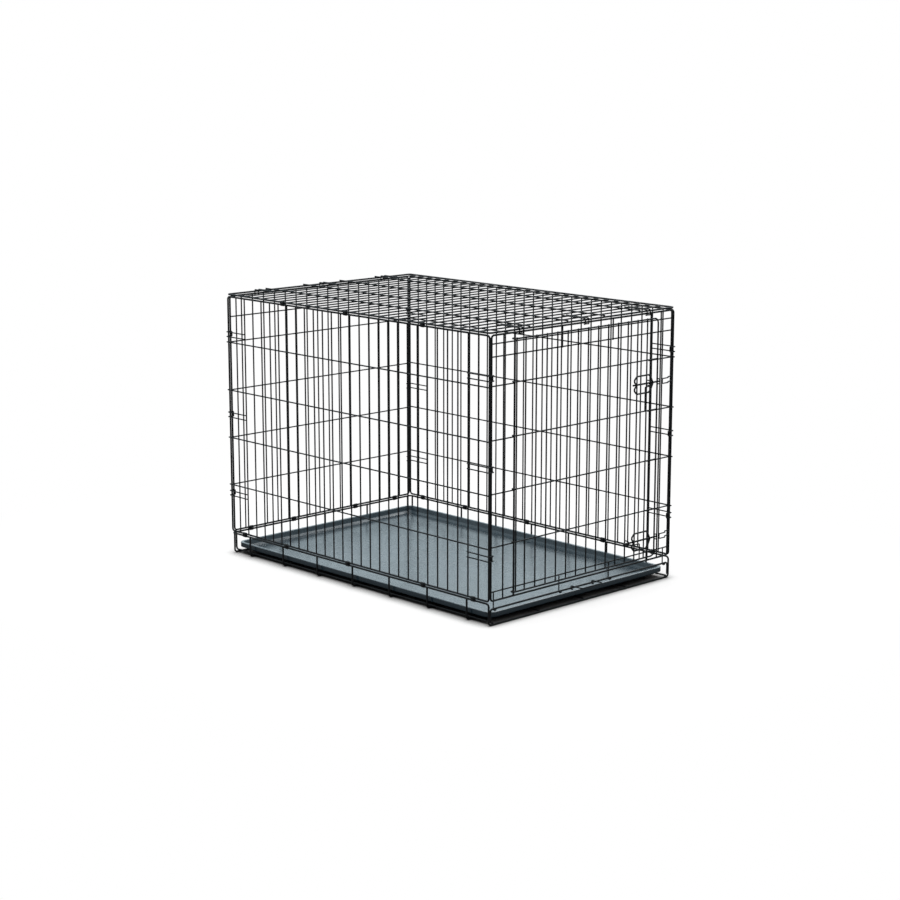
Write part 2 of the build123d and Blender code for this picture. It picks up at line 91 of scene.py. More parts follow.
# Sizes that the boxes of the frame don't give, in metres
WELD_SINK = 0.0001
HOOK_TIP = 0.0004
HEADER_DROP = 0.033
CORNER_HOOK_ZS = (0.1785, 0.4105, 0.6445)
REST_WIDTH = 0.022
REST_DROP = 0.011
REST_FROM_DOOR_EDGE = {"upper": 0.037, "lower": 0.071}
HANDLE_CORNER_CUT = 0.009
HANDLE_PINCH = 0.009
HANDLE_NOSE = 0.008
KEEPER_CATCH = 0.024
KEEPER_RAMP = 0.012

# How far a curled eye goes round its hinge wire, and its faces along the curl
EYE_TURN = math.radians(215)
EYE_STEPS = 14

# Sheet clips: sizes in metres, radii as shares of the widths, faces round an edge
CLIP_WIDTH = 0.012
CLIP_SHEET = 0.001
CLIP_RING_ROUNDING = 0.499
CLIP_EDGE_ROUNDING = 0.3
CLIP_EDGE_STEPS = 3

# Section of the pan, in metres from its lip's edge and from its underside
PAN_WALL = 0.0024
PAN_LIP = 0.0065
PAN_LIP_DROP = 0.013
PAN_DRAFT = 0.003
PAN_STEP_DEPTH = 0.006
PAN_STEP_WIDTH = 0.008
PAN_CORNER_RADIUS = 0.026
PAN_CORNER_STEPS = 12

# Rounding of the pan's edges: least angle of such an edge, size in metres, faces, shape
PAN_EDGE_ANGLE = math.radians(20)
PAN_EDGE_SIZE = 0.0009
PAN_EDGE_STEPS = 3
PAN_EDGE_PROFILE = 0.5

# Meshes: metres under which points and edges merge, angle of a sharp edge, fineness of a weld
MERGE_DISTANCE = 1e-6
EMPTY_DISTANCE = 1e-7
SHARP_ANGLE = math.radians(40)
WELD_SUBDIVISIONS = 2

# Noise: metres and detail of each pattern, values over which roughness swings and dust sets in
COAT_PATCHES = (0.035, 4.0)
COAT_RIPPLE = (0.0009, 2.0)
PAN_PATCHES = (0.09, 5.0)
NOISE_RANGE = (0.3, 0.7)
DUST_RANGE = (0.42, 0.78)

# Surfaces: gloss, swing of the roughness, and bumps with their depth in metres
COAT_SPECULAR = 0.35
COAT_SWING = (-0.06, 0.12)
COAT_BUMP = 0.12
PAN_IOR = 1.5
PAN_COAT = 0.75
PAN_COAT_ROUGHNESS = 0.25
PAN_SWING = (-0.04, 0.06)
PAN_BUMP = 0.1
BUMP_DEPTH = 0.0001
WHITE = (1, 1, 1, 1)

# Camera, fitted to the photograph's corners, in metres; its lens in millimetres
VIEW_AZIMUTH = math.radians(-43.71)
VIEW_ELEVATION = math.radians(11.59)
VIEW_DISTANCE = 5.815
VIEW_RIGHT = 0.01273
VIEW_UP = -0.048
VIEW_END = 100.0
VIEW_LENS = 82.3
SENSOR_WIDTH = 36.0

# Floor, in metres: how far from the crate it is lifted and plain white, its half width, its
# distance under the wires, and how near a piece above must be for painted shade under it
LIFT_REACH = 0.03
FADE_REACH = 0.9
FLOOR_HALF = 40.0
FLOOR_CLEARANCE = 0.0005
PAINTED_SHADE_REACH = 0.05

# Floor: samples of that painted shade, and roughness
PAINTED_SHADE_SAMPLES = 8
FLOOR_ROUGHNESS = 0.9

# Cosine to the line of sight from which the backdrop is bright, and the room dim behind
BACKDROP_EDGE = 0.5

# Lamps, in metres: places from the crate's middle, and their width
KEY_PLACE = (-0.9, -0.5, 3.6)
FILL_PLACE = (2.6, 1.2, 2.4)
LAMP_SIZE = 2.6


def amount(name, description, default, unit="NONE"):
    """Setting for a number."""
    return FloatProperty(name=name, description=description, default=default, unit=unit)


def length(name, description, default):
    """Setting for a size in metres."""
    return amount(name, description, default, "LENGTH")


def share(name, description, default):
    """Setting for a share."""
    return FloatProperty(name=name, description=description, default=default, subtype="FACTOR")


def colour(name, description, default):
    """Setting for a colour."""
    return FloatVectorProperty(
        name=name, description=description, default=default, subtype="COLOR"
    )


class WireSettings(bpy.types.PropertyGroup):
    """Sizes of wires, bends and welds."""

    hook_wire: length("Hook wire", "Diameter of hooks, keepers and guides", 0.0034)
    door_wire: length("Door wire", "Diameter of the door's frame", 0.0046)
    corner_bend: length("Corner bend", "Radius of the panels' corners", 0.008)
    door_bend: length("Door bend", "Radius of the door's corners", 0.014)
    hook_bend: length("Hook bend", "Radius where a hook turns", 0.0034)
    tip_bend: length("Tip bend", "Radius at a hook's closed tip", 0.0021)
    handle_bend: length("Handle bend", "Radius of the latch handles' bends", 0.004)
    stop_bend: length("Stop bend", "Radius of the pan stop's corners", 0.006)
    hook_spread: length("Hook spread", "Between the two wires of a hairpin", 0.0135)
    weld_width: length("Weld width", "Half width of a weld's flash", 0.0023)
    weld_height: length("Weld height", "Half height of a weld's flash", 0.001)
    sides: IntProperty(name="Sides", description="Faces round a wire", default=16, min=6)
    bend_steps: IntProperty(name="Bend steps", description="Faces along a bend", default=8, min=2)


class FinishSettings(bpy.types.PropertyGroup):
    """Colours and gloss of the coat and the pan."""

    coat_colour: colour("Coat", "Black coat on the wires", (0.0035, 0.0038, 0.0045))
    coat_roughness: share("Coat roughness", "Gloss of the coat", 0.42)
    dust_colour: colour("Dust", "Dull patches in the coat", (0.008, 0.0085, 0.0095))
    pan_colour: colour("Pan", "Blue-black plastic of the pan", (0.011, 0.025, 0.036))
    pan_roughness: share("Pan roughness", "Gloss of the plastic", 0.25)
    grain_size: length("Grain", "Size of the plastic's moulded grain", 0.0022)


class StudioSettings(bpy.types.PropertyGroup):
    """Floor, lamps and camera."""

    floor_shade: share("Floor", "Pale grey of the floor", 0.9)
    bounce_shade: share("Bounce", "Grey of the floor in the light it throws back", 0.12)
    floor_lift: share("Floor lift", "Share of plain white in the floor beside the crate", 0.6)
    # Painted shade: how strongly the floor's colour is darkened close under the pan
    painted_shade_depth: amount("Cover", "How dark the floor is close under the pan", 1.3)
    sky_strength: amount("Sky", "Even light from all round", 0.8)
    gloss_colour: colour("Gloss", "Cool studio seen in the gloss", (0.78, 0.93, 1.0))
    room_strength: amount("Room", "Light of the room in front, seen in the gloss", 0.3)
    key_power: amount("Key lamp", "Large soft lamp overhead", 90.0, "POWER")
    fill_power: amount("Fill lamp", "Soft lamp behind on the right", 40.0, "POWER")
    lens: amount("Lens", "Focal length of the camera", VIEW_LENS)


def thickness(node, axis):
    """Size of a node along one axis."""
    low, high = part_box(node)
    return high[axis] - low[axis]


def middle(node, axis):
    """Middle of a node along one axis."""
    low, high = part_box(node)
    return (low[axis] + high[axis]) / 2


def between(node, other, axis):
    """Halfway between the middles of two nodes along one axis."""
    return (middle(node, axis) + middle(other, axis)) / 2


def span(node, axis, radius=0.0):
    """Ends of a node along one axis, or the middle lines of its outermost wires."""
    low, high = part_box(node)
    return low[axis] + radius, high[axis] - radius


def spread(first, last, count):
    """Evenly spaced places from first to last."""
    return [first + (last - first) * i / (count - 1) for i in range(count)]


def pitch(places):
    """Spacing of evenly spaced places."""
    return (places[-1] - places[0]) / max(len(places) - 1, 1)


def at(axes, values):
    """Point with the given values on the given axes."""
    point = Vector()
    for axis, value in zip(axes, values):
        point[axis] = value
    return point


frame_radius = thickness("top_frame", Z) / 2
bar_radius = thickness("left_side_bars", X) / 2
rail_radius = thickness("left_side_rails", X) / 2
side_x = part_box("base_rim")[1].x - frame_radius
floor_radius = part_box("base_cross_wires")[1].x - side_x
front_y, rear_y = span("left_side_frame", Y, frame_radius)
bar_ys = spread(*span("left_side_bars", Y, bar_radius), SIDE_BARS)
side_pitch = bar_ys[1] - bar_ys[0]
side_wire_ys = spread(front_y, rear_y, SIDE_BARS + 2)
rail_zs = spread(*span("left_side_rails", Z, rail_radius), SIDE_RAILS)
rear_xs = spread(*span("rear_end_bars", X, bar_radius), REAR_BARS)
rear_pitch = rear_xs[1] - rear_xs[0]
hinge_x, jamb_x = span("front_door_posts", X, frame_radius)
door_rail_zs = spread(*span("door_rails", Z, rail_radius), SIDE_RAILS)
pivot_y = middle("base_front_rail", Y)
pivot_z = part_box("base_front_rail")[1].z - frame_radius


def wires():
    """Wire settings of the scene."""
    return bpy.context.scene.crate_wires


def finishes():
    """Finish settings of the scene."""
    return bpy.context.scene.crate_finish


def feed(tree, node, inputs):
    """Sets each input of a node to a value, or links it to a socket."""
    for key, value in inputs.items():
        if isinstance(value, bpy.types.NodeSocket):
            tree.links.new(value, node.inputs[key])
        else:
            node.inputs[key].default_value = value


def add(tree, kind, inputs=None, **settings):
    """Outputs of a new node with these inputs and settings."""
    node = tree.nodes.new(kind)
    for name, value in settings.items():
        setattr(node, name, value)
    feed(tree, node, inputs or {})
    return node.outputs


def reckon(tree, operation, *values):
    """Result of a math node."""
    return add(tree, "ShaderNodeMath", dict(enumerate(values)), operation=operation)["Value"]


def reckon_vector(tree, operation, *values):
    """Outputs of a vector math node."""
    return add(tree, "ShaderNodeVectorMath", dict(enumerate(values)), operation=operation)


def new_tree(name, sockets):
    """Geometry node tree, and the sockets of its named inputs."""
    tree = bpy.data.node_groups.new(name, "GeometryNodeTree")
    sockets = {"Geometry": "Geometry", **sockets, "Material": "Material"}
    for label, kind in sockets.items():
        tree.interface.new_socket(label, in_out="INPUT", socket_type=f"NodeSocket{kind}")
    tree.interface.new_socket("Geometry", in_out="OUTPUT", socket_type="NodeSocketGeometry")
    return tree, add(tree, "NodeGroupInput")


def end_tree(tree, given, geometry):
    """Realize Instances and Set Material at the tree's end."""
    real = add(tree, "GeometryNodeRealizeInstances", {"Geometry": geometry})["Geometry"]
    inputs = {"Geometry": real, "Material": given["Material"]}
    painted = add(tree, "GeometryNodeSetMaterial", inputs)["Geometry"]
    add(tree, "NodeGroupOutput", {"Geometry": painted})
    return tree


def tube(tree, given, curve):
    """Round wire with closed ends along a curve."""
    inputs = {"Resolution": given["Sides"], "Radius": given["Radius"]}
    section = add(tree, "GeometryNodeCurvePrimitiveCircle", inputs)["Curve"]
    inputs = {"Curve": curve, "Profile Curve": section, "Fill Caps": True}
    return add(tree, "GeometryNodeCurveToMesh", inputs)["Mesh"]


def rounded(tree, curve, radius, steps):
    """Curve with its corners bent to a radius."""
    inputs = {"Curve": curve, "Radius": radius, "Count": steps}
    return add(tree, "GeometryNodeFilletCurve", inputs, mode="POLY")["Curve"]


def oblong(tree, width, height):
    """Rectangle of a curve."""
    inputs = {"Width": width, "Height": height}
    return add(tree, "GeometryNodeCurvePrimitiveQuadrilateral", inputs)["Curve"]


def row(tree, count, step, start=(0, 0, 0)):
    """Points in a row."""
    inputs = {"Count": count, "Offset": step, "Start Location": start}
    return add(tree, "GeometryNodeMeshLine", inputs, mode="OFFSET")["Mesh"]


def copies(tree, points, instance, **placing):
    """Copies of a geometry at points, placed by Rotation or Scale."""
    inputs = {"Points": points, "Instance": instance, **placing}
    return add(tree, "GeometryNodeInstanceOnPoints", inputs)["Instances"]


def bent_wire_tree():
    """Round wire along each drawn path, with its corners bent to the path's own radii."""
    sockets = {"Radius": "Float", "Sides": "Int", "Bend steps": "Int"}
    tree, given = new_tree("Bent wire", sockets)
    drawn = add(tree, "GeometryNodeMeshToCurve", {"Mesh": given["Geometry"]})["Curve"]
    bend = add(tree, "GeometryNodeInputNamedAttribute", {"Name": "bend"}, data_type="FLOAT")
    curve = rounded(tree, drawn, bend["Attribute"], given["Bend steps"])
    return end_tree(tree, given, tube(tree, given, curve))


def wire_row_tree():
    """Row of equal straight wires."""
    sockets = {"Start": "Vector", "End": "Vector", "Step": "Vector"}
    sockets |= {"Count": "Int", "Radius": "Float", "Sides": "Int"}
    tree, given = new_tree("Wire row", sockets)
    ends = {"Start": given["Start"], "End": given["End"]}
    line = add(tree, "GeometryNodeCurvePrimitiveLine", ends)["Curve"]
    places = row(tree, given["Count"], given["Step"])
    return end_tree(tree, given, copies(tree, places, tube(tree, given, line)))


def weld_grid_tree():
    """Flat rounded flash at each crossing of two rows of wires."""
    sockets = {"Start": "Vector", "Step": "Vector", "Count": "Int"}
    sockets |= {"Row step": "Vector", "Row count": "Int", "Size": "Vector"}
    tree, given = new_tree("Weld grid", sockets)
    rows = row(tree, given["Row count"], given["Row step"])
    places = row(tree, given["Count"], given["Step"], given["Start"])
    grid = {"Geometry": copies(tree, rows, places)}
    crossings = add(tree, "GeometryNodeRealizeInstances", grid)["Geometry"]
    flash = add(tree, "GeometryNodeMeshIcoSphere", {"Subdivisions": WELD_SUBDIVISIONS})["Mesh"]
    return end_tree(tree, given, copies(tree, crossings, flash, Scale=given["Size"]))


def sheet_clip_tree():
    """Ring of bent sheet at each drawn point."""
    sockets = {"Ring width": "Float", "Ring height": "Float", "Sheet": "Float"}
    sockets |= {"Clip width": "Float", "Bend steps": "Int", "Turn": "Vector"}
    tree, given = new_tree("Sheet clip", sockets)
    ring = oblong(tree, given["Ring width"], given["Ring height"])
    radius = reckon(tree, "MULTIPLY", given["Ring width"], CLIP_RING_ROUNDING)
    ring = {"Curve": rounded(tree, ring, radius, given["Bend steps"])}
    ring = add(tree, "GeometryNodeSetCurveNormal", ring, mode="Z_UP")["Curve"]
    section = oblong(tree, given["Sheet"], given["Clip width"])
    radius = reckon(tree, "MULTIPLY", given["Sheet"], CLIP_EDGE_ROUNDING)
    section = rounded(tree, section, radius, CLIP_EDGE_STEPS)
    inputs = {"Curve": ring, "Profile Curve": section}
    sheet = add(tree, "GeometryNodeCurveToMesh", inputs)["Mesh"]
    clips = copies(tree, given["Geometry"], sheet, Rotation=given["Turn"])
    return end_tree(tree, given, clips)


TREE_MAKERS = {
    "Bent wire": bent_wire_tree,
    "Wire row": wire_row_tree,
    "Weld grid": weld_grid_tree,
    "Sheet clip": sheet_clip_tree,
}


def new_object(name, data):
    """New object in the scene."""
    obj = bpy.data.objects.new(name, data)
    bpy.context.scene.collection.objects.link(obj)
    return obj


def baked(name, tree_name, values, drawn=None):
    """Coated object that the tree makes of the drawn mesh with these inputs."""
    tree = bpy.data.node_groups.get(tree_name) or TREE_MAKERS[tree_name]()
    obj = new_object(name, drawn or bpy.data.meshes.new(name))
    values = {
        "Sides": wires().sides,
        "Bend steps": wires().bend_steps,
        "Material": coat_material(),
        **values,
    }
    modifier = obj.modifiers.new("Build", "NODES")
    modifier.node_group = tree
    for item in tree.interface.items_tree:
        if item.in_out == "INPUT" and item.name in values:
            modifier[item.identifier] = values[item.name]
    depsgraph = bpy.context.evaluated_depsgraph_get()
    mesh = bpy.data.meshes.new_from_object(obj.evaluated_get(depsgraph), depsgraph=depsgraph)
    obj.modifiers.clear()
    obj.data = mesh
    clean(mesh)
    if not mesh.polygons:
        raise RuntimeError(f"{name} came out empty")
    return obj


def clean(mesh):
    """Merges doubled points, turns faces outwards and smooths the mesh."""
    work = bmesh.new()
    work.from_mesh(mesh)
    bmesh.ops.remove_doubles(work, verts=work.verts, dist=MERGE_DISTANCE)
    bmesh.ops.dissolve_degenerate(work, edges=work.edges, dist=EMPTY_DISTANCE)
    bmesh.ops.recalc_face_normals(work, faces=work.faces)
    work.to_mesh(mesh)
    work.free()
    smooth(mesh)


def smooth(mesh):
    """Smooths all but sharp edges."""
    mesh.shade_smooth()
    mesh.set_sharp_from_angle(angle=SHARP_ANGLE)


def dressed(obj, body, slot, *nodes):
    """Puts a finished piece on its body in place of its nodes."""
    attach(obj, body)
    if nodes:
        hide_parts(*nodes)


def path(points, bends=0.0, closed=False):
    """Route of a wire, with one bend radius for all its points or one for each."""
    if isinstance(bends, (int, float)):
        bends = [bends] * len(points)
    return [Vector(point) for point in points], list(bends), closed


def level(x0, x1, y, z):
    """Route of a straight wire across the crate."""
    return path([(x0, y, z), (x1, y, z)])


def upright(x, y, z0, z1):
    """Route of a straight wire from below to above."""
    return path([(x, y, z0), (x, y, z1)])


def hairpin(axes, leg, centre, half, bends):
    """Route along a leg on two axes and back along its twin beside it."""
    points = [at(axes, (*place, centre + half)) for place in leg]
    points += [at(axes, (*place, centre - half)) for place in reversed(leg)]
    return path(points, bends)


def eye_arc(centre, start, turn):
    """Points of a curled end, from its straight wire round the hinge wire."""
    points = []
    for i in range(EYE_STEPS + 1):
        angle = EYE_TURN * i / EYE_STEPS
        reach = Vector(start) * math.cos(angle) + Vector(turn) * math.sin(angle)
        points.append(Vector(centre) + reach)
    return points


def eyed(first, corners, last, bend):
    """Route from one curled end to another, bent at the corners between them."""
    bends = [0] * len(first) + [bend] * len(corners) + [0] * len(last)
    return path([*reversed(first), *corners, *last], bends)


def drawn_paths(name, paths):
    """Mesh of bare edges along the routes, with each point's bend radius."""
    points, edges, radii = [], [], []
    for route, bends, closed in paths:
        first = len(points)
        points += route
        radii += bends
        edges += [(i, i + 1) for i in range(first, len(points) - 1)]
        if closed:
            edges.append((len(points) - 1, first))
    mesh = bpy.data.meshes.new(name)
    mesh.from_pydata(points, edges, [])
    mesh.attributes.new("bend", "FLOAT", "POINT").data.foreach_set("value", radii)
    return mesh


def bent_wires(node, body, radius, paths):
    """Wires of one node along their routes."""
    name = f"{node}_coated"
    obj = baked(name, "Bent wire", {"Radius": radius}, drawn_paths(name, paths))
    dressed(obj, body, "wire", node)


def wire_row(node, body, along, across, count):
    """Equal straight wires of one node, which fill its box."""
    normal = X + Y + Z - along - across
    radius = thickness(node, normal) / 2
    first, last = span(node, across, radius)
    start, end = span(node, along)
    depth = middle(node, normal)
    axes = (along, across, normal)
    values = {
        "Start": at(axes, (start, first, depth)),
        "End": at(axes, (end, first, depth)),
        "Step": at((across,), ((last - first) / (count - 1),)),
        "Count": count,
        "Radius": radius,
    }
    dressed(baked(f"{node}_coated", "Wire row", values), body, "wire", node)


def weld_grid(name, body, grid, depth):
    """Welds at the crossings of two axes' evenly spaced places, at one depth on the third."""
    (along, columns), (across, rows) = grid.items()
    normal = X + Y + Z - along - across
    size = Vector((wires().weld_width,) * 3)
    size[normal] = wires().weld_height
    values = {
        "Start": at((along, across, normal), (columns[0], rows[0], depth)),
        "Step": at((along,), (pitch(columns),)),
        "Count": len(columns),
        "Row step": at((across,), (pitch(rows),)),
        "Row count": len(rows),
        "Size": size,
    }
    dressed(baked(name, "Weld grid", values), body, "wire")


def frame_loop(node, body, normal):
    """Closed frame wire that fills a flat node's box."""
    radius = thickness(node, normal) / 2
    across, up = [axis for axis in (X, Y, Z) if axis != normal]
    a0, a1 = span(node, across, radius)
    b0, b1 = span(node, up, radius)
    axes = (across, up, normal)
    depth = middle(node, normal)
    corners = [at(axes, (a, b, depth)) for a, b in ((a0, b0), (a1, b0), (a1, b1), (a0, b1))]
    bent_wires(node, body, radius, [path(corners, wires().corner_bend, closed=True)])


def shader(name):
    """New node material, its tree and its surface shader."""
    material = bpy.data.materials.new(name)
    material.use_nodes = True
    return material, material.node_tree, material.node_tree.nodes["Principled BSDF"]


def noise(tree, place, size, detail):
    """Noise whose blobs have about the given size in metres."""
    inputs = {"Vector": place, "Scale": 1 / size, "Detail": detail}
    return add(tree, "ShaderNodeTexNoise", inputs)["Fac"]


def swung(tree, value, base, swing):
    """Value of the noise turned into a swing round a base."""
    inputs = {
        "Value": value,
        "From Min": NOISE_RANGE[0],
        "From Max": NOISE_RANGE[1],
        "To Min": base + swing[0],
        "To Max": base + swing[1],
    }
    return add(tree, "ShaderNodeMapRange", inputs)["Result"]


def bumped(tree, height, strength):
    """Normal of a surface with small bumps."""
    inputs = {"Height": height, "Strength": strength, "Distance": BUMP_DEPTH}
    return add(tree, "ShaderNodeBump", inputs)["Normal"]


def mixed(tree, part, first, second):
    """Mix of two shaders, with this part of the second."""
    inputs = {"Fac": part, 1: first, 2: second}
    return add(tree, "ShaderNodeMixShader", inputs)["Shader"]


def coat_material():
    """Black dipped coat: satin, with slightly duller patches and a fine ripple."""
    name = "Black wire coat"
    if name in bpy.data.materials:
        return bpy.data.materials[name]
    settings = finishes()
    material, tree, surface = shader(name)
    place = add(tree, "ShaderNodeTexCoord")["Object"]
    patches = noise(tree, place, *COAT_PATCHES)
    ramp = tree.nodes.new("ShaderNodeValToRGB")
    colours = (settings.coat_colour, settings.dust_colour)
    for element, position, shade in zip(ramp.color_ramp.elements, DUST_RANGE, colours):
        element.position = position
        element.color = (*shade, 1)
    feed(tree, ramp, {"Fac": patches})
    inputs = {
        "Base Color": ramp.outputs["Color"],
        "Specular IOR Level": COAT_SPECULAR,
        "Roughness": swung(tree, patches, settings.coat_roughness, COAT_SWING),
        "Normal": bumped(tree, noise(tree, place, *COAT_RIPPLE), COAT_BUMP),
    }
    feed(tree, surface, inputs)
    return material


def pan_material():
    """Blue-black moulded plastic with a leathery grain and faint scuffs."""
    settings = finishes()
    material, tree, surface = shader("Pan plastic")
    place = add(tree, "ShaderNodeTexCoord")["Object"]
    inputs = {"Vector": place, "Scale": 1 / settings.grain_size}
    grain = add(tree, "ShaderNodeTexVoronoi", inputs, feature="SMOOTH_F1")["Distance"]
    patches = noise(tree, place, *PAN_PATCHES)
    inputs = {
        "Base Color": (*settings.pan_colour, 1),
        "IOR": PAN_IOR,
        "Coat Weight": PAN_COAT,
        "Coat Roughness": PAN_COAT_ROUGHNESS,
        "Roughness": swung(tree, patches, settings.pan_roughness, PAN_SWING),
        "Normal": bumped(tree, grain, PAN_BUMP),
    }
    feed(tree, surface, inputs)
    return material


class CRATE_OT_base(bpy.types.Operator):
    """Make the rim, front rail and floor wires of the base"""

    bl_idname = "crate.base"
    bl_label = "Base wires"

    def execute(self, context):
        bend = wires().corner_bend
        y0, y1 = span("base_rim", Y, frame_radius)
        z0, z1 = span("base_rim", Z, frame_radius)
        rim = [(-side_x, y0, z0), (-side_x, y0, z1), (-side_x, y1, z1)]
        rim += [(-x, y, z) for x, y, z in reversed(rim)]
        bent_wires("base_rim", "crate", frame_radius, [path(rim, bend, closed=True)])
        x0, x1 = span("base_front_rail", X, frame_radius)
        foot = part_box("base_front_rail")[0].z
        corners = ((x0, foot), (x0, pivot_z), (x1, pivot_z), (x1, foot))
        rail = path([(x, pivot_y, z) for x, z in corners], bend)
        bent_wires("base_front_rail", "crate", frame_radius, [rail])
        first, rear = span("base_cross_wires", Y, floor_radius)
        ys = spread(first, front_y + rear_y - first, CROSS_WIRES)
        low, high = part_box("base_cross_wires")
        floor, top = low.z + floor_radius, high.z
        corners = ((-side_x, top), (-side_x, floor), (side_x, floor), (side_x, top))
        routes = [path([(x, y, z) for x, z in corners], bend) for y in (*ys, rear)]
        bent_wires("base_cross_wires", "crate", floor_radius, routes)
        xs = spread(*span("base_long_wires", X, floor_radius), LONG_WIRES)
        low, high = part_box("base_long_wires")
        runner, rear = low.z + floor_radius, high.y - floor_radius
        corners = ((low.y, runner), (rear, runner), (rear, high.z))
        routes = [path([(x, y, z) for y, z in corners], bend) for x in xs]
        bent_wires("base_long_wires", "crate", floor_radius, routes)
        weld_grid("base_welds", "crate", {X: xs, Y: ys}, (floor + runner) / 2)
        return {"FINISHED"}


class CRATE_OT_sides(bpy.types.Operator):
    """Make both long sides"""

    bl_idname = "crate.sides"
    bl_label = "Long sides"

    def execute(self, context):
        for side in ("left", "right"):
            bars, rails = f"{side}_side_bars", f"{side}_side_rails"
            frame_loop(f"{side}_side_frame", "crate", X)
            wire_row(bars, "crate", Z, Y, SIDE_BARS)
            wire_row(rails, "crate", Y, Z, SIDE_RAILS)
            grid = {Y: side_wire_ys, Z: rail_zs}
            weld_grid(f"{side}_side_rail_welds", "crate", grid, between(bars, rails, X))
            grid = {Y: bar_ys, Z: span(bars, Z)}
            weld_grid(f"{side}_side_end_welds", "crate", grid, middle(bars, X))
        return {"FINISHED"}


class CRATE_OT_top(bpy.types.Operator):
    """Make the top"""

    bl_idname = "crate.top"
    bl_label = "Top"

    def execute(self, context):
        bars, long_wires = "top_cross_bars", "top_long_wires"
        frame_loop("top_frame", "crate", Z)
        wire_row(bars, "crate", X, Y, SIDE_BARS)
        wire_row(long_wires, "crate", Y, X, TOP_LONG_WIRES)
        xs = spread(*span(long_wires, X, rail_radius), TOP_LONG_WIRES)
        grid = {X: xs, Y: side_wire_ys}
        weld_grid("top_wire_welds", "crate", grid, between(bars, long_wires, Z))
        weld_grid("top_end_welds", "crate", {X: span(bars, X), Y: bar_ys}, middle(bars, Z))
        return {"FINISHED"}


class CRATE_OT_rear_end(bpy.types.Operator):
    """Make the rear end panel"""

    bl_idname = "crate.rear_end"
    bl_label = "Rear end"

    def execute(self, context):
        bars, rails = "rear_end_bars", "rear_end_rails"
        frame_loop("rear_end_frame", "rear_end", Y)
        wire_row(bars, "rear_end", Z, X, REAR_BARS)
        left, right = span(rails, X)
        y = middle(rails, Y)
        top_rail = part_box(rails)[1].z - rail_radius
        routes = [level(left, right, y, z) for z in (*rail_zs, top_rail)]
        bent_wires(rails, "rear_end", rail_radius, routes)
        face = between(bars, rails, Y)
        weld_grid("rear_rail_welds", "rear_end", {X: rear_xs, Z: rail_zs}, face)
        weld_grid("rear_top_rail_welds", "rear_end", {X: rear_xs, Z: (top_rail,)}, face)
        grid = {X: rear_xs, Z: span(bars, Z)}
        weld_grid("rear_end_welds", "rear_end", grid, middle(bars, Y))
        return {"FINISHED"}


def door_right():
    """Middle line of the door frame's free edge."""
    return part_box("door_frame")[1].x - wires().door_wire / 2


def door_bay_x(bays):
    """Place on the door, counted in its bays from the hinge."""
    return hinge_x + bays * ((door_right() - hinge_x) / DOOR_BAYS)


def header_bar_xs():
    """Places of the short bars over the door."""
    return [door_bay_x(bays) for bays in HEADER_BAR_BAYS]


class CRATE_OT_front_end(bpy.types.Operator):
    """Make the front end panel round the door"""

    bl_idname = "crate.front_end"
    bl_label = "Front end"

    def execute(self, context):
        bars, rails = "front_end_bars", "front_end_rails"
        frame_loop("front_end_frame", "front_end", Y)
        wire_row("front_door_posts", "front_end", Z, X, DOOR_POSTS)
        y, rail_y = middle(bars, Y), middle(rails, Y)
        sill, upper_header = span(rails, Z, rail_radius)
        header = upper_header - HEADER_DROP
        bottom, top = span(bars, Z)
        outer_xs = span(bars, X, bar_radius)
        routes = [upright(x, y, bottom, top) for x in outer_xs]
        routes += [upright(x, y, header - rail_radius, top) for x in header_bar_xs()]
        bent_wires(bars, "front_end", bar_radius, routes)
        left, right = span(rails, X)
        routes = [level(left, right, rail_y, z) for z in (sill, header, upper_header)]
        for z in rail_zs:
            routes.append(level(left, hinge_x + frame_radius, rail_y, z))
            routes.append(level(jamb_x - frame_radius, right, rail_y, z))
        bent_wires(rails, "front_end", rail_radius, routes)
        for side, x in zip(("left", "right"), outer_xs):
            grid = {X: (x,), Z: rail_zs}
            weld_grid(f"front_{side}_rail_welds", "front_end", grid, between(bars, rails, Y))
        return {"FINISHED"}


